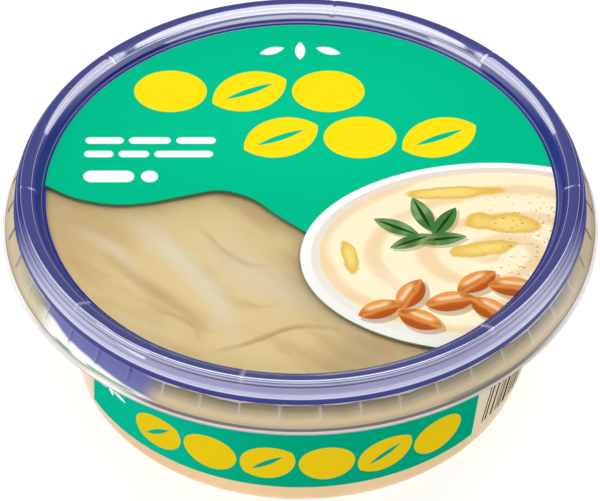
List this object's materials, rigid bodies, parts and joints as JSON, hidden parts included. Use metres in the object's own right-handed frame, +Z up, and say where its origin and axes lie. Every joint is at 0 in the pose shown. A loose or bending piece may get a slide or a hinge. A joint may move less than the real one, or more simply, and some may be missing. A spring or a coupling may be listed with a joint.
{
  "type": "tub of hummus",
  "caption": "Round tapered clear tub filled with hummus, shut with a push-on lid that has a raised blue rim, a ribbed clear skirt, a printed top film with a wavy window and a printed wall band.",
  "frame": {"origin": "centre of the foot, on the surface that the tub stands on", "axes": "+Z up out of the lid, +X to the right of the front, the printed front faces -Y"},
  "size_m": [0.1054, 0.1054, 0.04],
  "materials": {
    "clear_sheet": "clear thin moulded plastic",
    "hummus": "smooth moist paste",
    "blue_sheet": "glossy see-through blue, clear at the panel and the skirt",
    "lid_print": "glossy printed film",
    "band_print": "glossy printed film"
  },
  "bodies": {
    "root": {"tub": "clear_sheet", "hummus": "hummus", "lid": "blue_sheet", "lid_film": "lid_print", "side_band": "band_print"}
  },
  "joints": []
}
